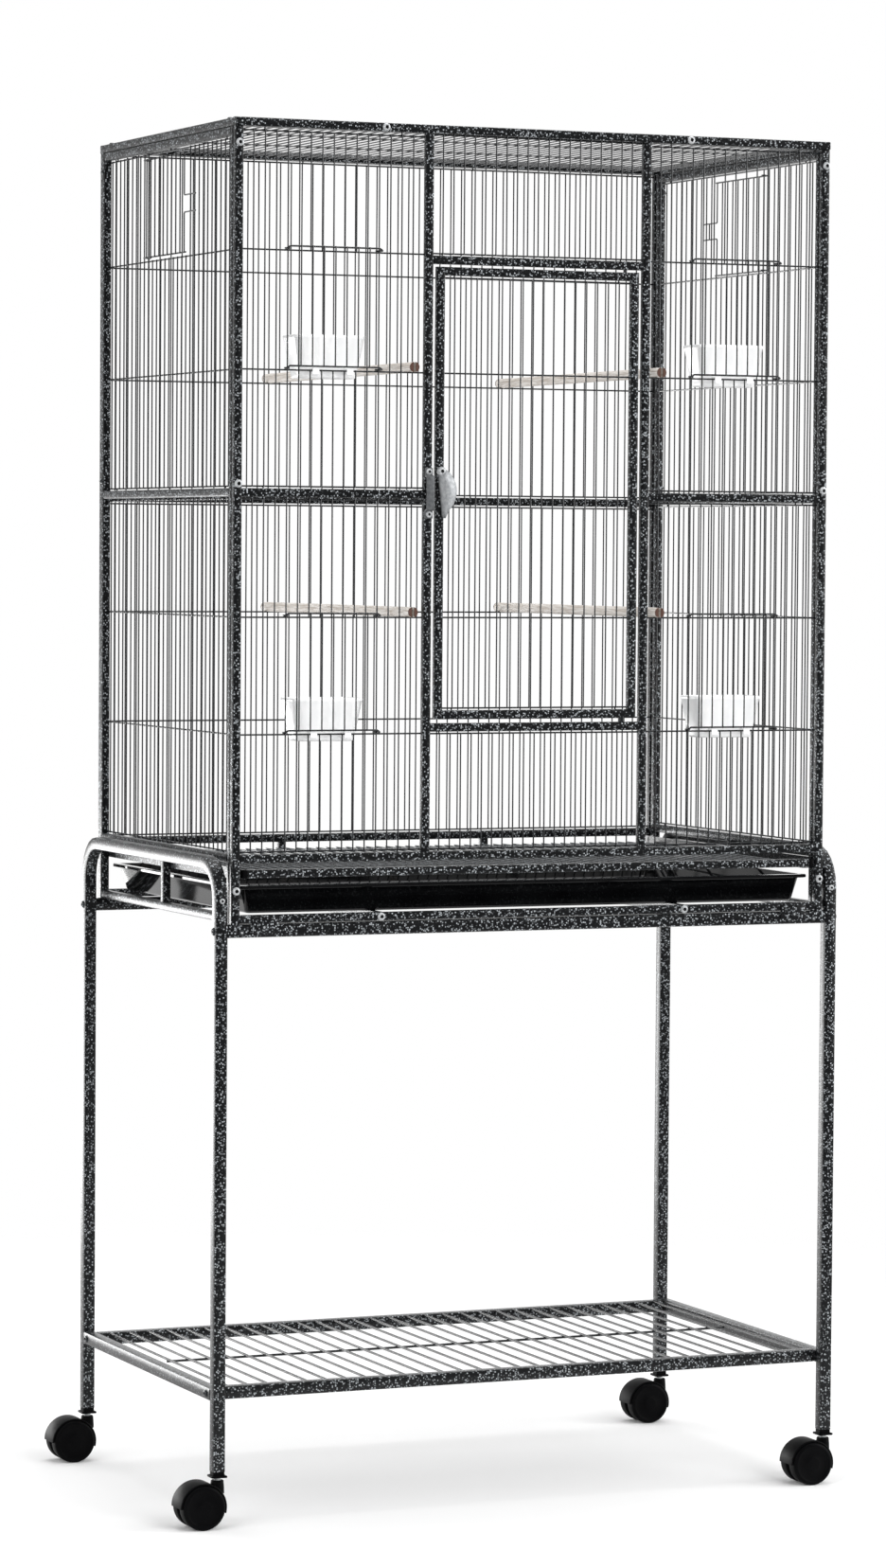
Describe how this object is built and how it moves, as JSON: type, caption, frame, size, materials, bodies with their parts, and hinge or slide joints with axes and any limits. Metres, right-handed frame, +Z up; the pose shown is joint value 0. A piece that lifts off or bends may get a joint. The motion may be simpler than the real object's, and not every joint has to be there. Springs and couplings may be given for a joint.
{
  "type": "bird cage on stand",
  "caption": "Rolling flight cage: wire panels in square tube frames, swing door with latch, lift feeder doors, nest doors, pull-out grate and tray, on a stand with wire shelf",
  "frame": {"origin": "on the floor under the middle of the cage box", "axes": "+X to the right along the front, -Y to the front, +Z up"},
  "size_m": [0.8484, 0.501, 1.626],
  "materials": {
    "hammertone_tube": "hammertone powder coat",
    "coated_wire": "satin powder coat",
    "cup_plastic": "milky gloss",
    "perch_wood": "sanded",
    "tray_plastic": "gloss",
    "caster_plastic": "satin",
    "zinc": "zinc plated"
  },
  "bodies": {
    "cage": {"left_leg_frame": "hammertone_tube", "right_leg_frame": "hammertone_tube", "leg_ties": "hammertone_tube", "front_cross_bar": "hammertone_tube", "back_cross_bar": "hammertone_tube", "corner_brackets": "hammertone_tube", "shelf_rails": "hammertone_tube", "shelf_wires": "coated_wire", "caster_sockets": "caster_plastic", "front_frame": "hammertone_tube", "back_frame": "hammertone_tube", "left_frame": "hammertone_tube", "right_frame": "hammertone_tube", "top_frame": "hammertone_tube", "front_left_mesh": "coated_wire", "front_right_mesh": "coated_wire", "door_bay_mesh": "coated_wire", "left_mesh": "coated_wire", "right_mesh": "coated_wire", "back_mesh": "coated_wire", "top_mesh": "coated_wire", "tray_runners": "hammertone_tube", "hinge_pins": "coated_wire", "latch_keeper": "zinc", "upper_left_cup": "cup_plastic", "upper_right_cup": "cup_plastic", "lower_left_cup": "cup_plastic", "lower_right_cup": "cup_plastic", "upper_left_perch": "perch_wood", "upper_right_perch": "perch_wood", "lower_left_perch": "perch_wood", "lower_right_perch": "perch_wood", "panel_bolts": "zinc", "leg_bolts": "zinc"},
    "main_door": {"main_door_frame": "hammertone_tube", "main_door_mesh": "coated_wire", "latch_pivot_screw": "zinc"},
    "latch": {"latch_lever": "zinc"},
    "tray": {"tray": "tray_plastic"},
    "grate": {"grate_frame": "hammertone_tube", "grate_mesh": "coated_wire"},
    "upper_left_feeder_door": {"upper_left_feeder_door": "coated_wire"},
    "upper_right_feeder_door": {"upper_right_feeder_door": "coated_wire"},
    "lower_left_feeder_door": {"lower_left_feeder_door": "coated_wire"},
    "lower_right_feeder_door": {"lower_right_feeder_door": "coated_wire"},
    "left_nest_door": {"left_nest_door": "coated_wire"},
    "right_nest_door": {"right_nest_door": "coated_wire"},
    "front_left_caster": {"front_left_caster": "caster_plastic"},
    "front_left_near_wheel": {"front_left_near_wheel": "caster_plastic"},
    "front_left_far_wheel": {"front_left_far_wheel": "caster_plastic"},
    "front_right_caster": {"front_right_caster": "caster_plastic"},
    "front_right_near_wheel": {"front_right_near_wheel": "caster_plastic"},
    "front_right_far_wheel": {"front_right_far_wheel": "caster_plastic"},
    "back_left_caster": {"back_left_caster": "caster_plastic"},
    "back_left_near_wheel": {"back_left_near_wheel": "caster_plastic"},
    "back_left_far_wheel": {"back_left_far_wheel": "caster_plastic"},
    "back_right_caster": {"back_right_caster": "caster_plastic"},
    "back_right_near_wheel": {"back_right_near_wheel": "caster_plastic"},
    "back_right_far_wheel": {"back_right_far_wheel": "caster_plastic"}
  },
  "joints": [
    {"name": "main_door_hinge", "type": "hinge", "parent": "cage", "child": "main_door", "pos_m": [0.113, -0.233, 1.198], "axis": [0, 0, 1], "range_deg": [0, 150]},
    {"name": "latch_turn", "type": "hinge", "parent": "main_door", "child": "latch", "pos_m": [-0.125, -0.24, 1.224], "axis": [0, -1, 0], "range_deg": [0, 90]},
    {"name": "tray_slide", "type": "slide", "parent": "cage", "child": "tray", "axis": [0, -1, 0], "range_m": [0, 0.4]},
    {"name": "grate_slide", "type": "slide", "parent": "cage", "child": "grate", "axis": [0, -1, 0], "range_m": [0, 0.4]},
    {"name": "upper_left_feeder_lift", "type": "slide", "parent": "cage", "child": "upper_left_feeder_door", "axis": [0, 0, 1], "range_m": [0, 0.12]},
    {"name": "upper_right_feeder_lift", "type": "slide", "parent": "cage", "child": "upper_right_feeder_door", "axis": [0, 0, 1], "range_m": [0, 0.12]},
    {"name": "lower_left_feeder_lift", "type": "slide", "parent": "cage", "child": "lower_left_feeder_door", "axis": [0, 0, 1], "range_m": [0, 0.12]},
    {"name": "lower_right_feeder_lift", "type": "slide", "parent": "cage", "child": "lower_right_feeder_door", "axis": [0, 0, 1], "range_m": [0, 0.12]},
    {"name": "left_nest_hinge", "type": "hinge", "parent": "cage", "child": "left_nest_door", "pos_m": [-0.3762, 0.07267, 1.538], "axis": [0, 0, -1], "range_deg": [0, 110]},
    {"name": "right_nest_hinge", "type": "hinge", "parent": "cage", "child": "right_nest_door", "pos_m": [0.3762, -0.07267, 1.538], "axis": [0, 0, -1], "range_deg": [0, 110]},
    {"name": "front_left_swivel", "type": "hinge", "parent": "cage", "child": "front_left_caster", "pos_m": [-0.394, -0.2305, 0.06], "axis": [0, 0, 1], "continuous": true},
    {"name": "front_left_near_roll", "type": "hinge", "parent": "front_left_caster", "child": "front_left_near_wheel", "pos_m": [-0.416, -0.2305, 0.026], "axis": [0, 1, 0], "continuous": true},
    {"name": "front_left_far_roll", "type": "hinge", "parent": "front_left_caster", "child": "front_left_far_wheel", "pos_m": [-0.416, -0.2305, 0.026], "axis": [0, 1, 0], "continuous": true},
    {"name": "front_right_swivel", "type": "hinge", "parent": "cage", "child": "front_right_caster", "pos_m": [0.394, -0.2305, 0.06], "axis": [0, 0, 1], "continuous": true},
    {"name": "front_right_near_roll", "type": "hinge", "parent": "front_right_caster", "child": "front_right_near_wheel", "pos_m": [0.372, -0.2305, 0.026], "axis": [0, 1, 0], "continuous": true},
    {"name": "front_right_far_roll", "type": "hinge", "parent": "front_right_caster", "child": "front_right_far_wheel", "pos_m": [0.372, -0.2305, 0.026], "axis": [0, 1, 0], "continuous": true},
    {"name": "back_left_swivel", "type": "hinge", "parent": "cage", "child": "back_left_caster", "pos_m": [-0.394, 0.2305, 0.06], "axis": [0, 0, 1], "continuous": true},
    {"name": "back_left_near_roll", "type": "hinge", "parent": "back_left_caster", "child": "back_left_near_wheel", "pos_m": [-0.416, 0.2305, 0.026], "axis": [0, 1, 0], "continuous": true},
    {"name": "back_left_far_roll", "type": "hinge", "parent": "back_left_caster", "child": "back_left_far_wheel", "pos_m": [-0.416, 0.2305, 0.026], "axis": [0, 1, 0], "continuous": true},
    {"name": "back_right_swivel", "type": "hinge", "parent": "cage", "child": "back_right_caster", "pos_m": [0.394, 0.2305, 0.06], "axis": [0, 0, 1], "continuous": true},
    {"name": "back_right_near_roll", "type": "hinge", "parent": "back_right_caster", "child": "back_right_near_wheel", "pos_m": [0.372, 0.2305, 0.026], "axis": [0, 1, 0], "continuous": true},
    {"name": "back_right_far_roll", "type": "hinge", "parent": "back_right_caster", "child": "back_right_far_wheel", "pos_m": [0.372, 0.2305, 0.026], "axis": [0, 1, 0], "continuous": true}
  ]
}
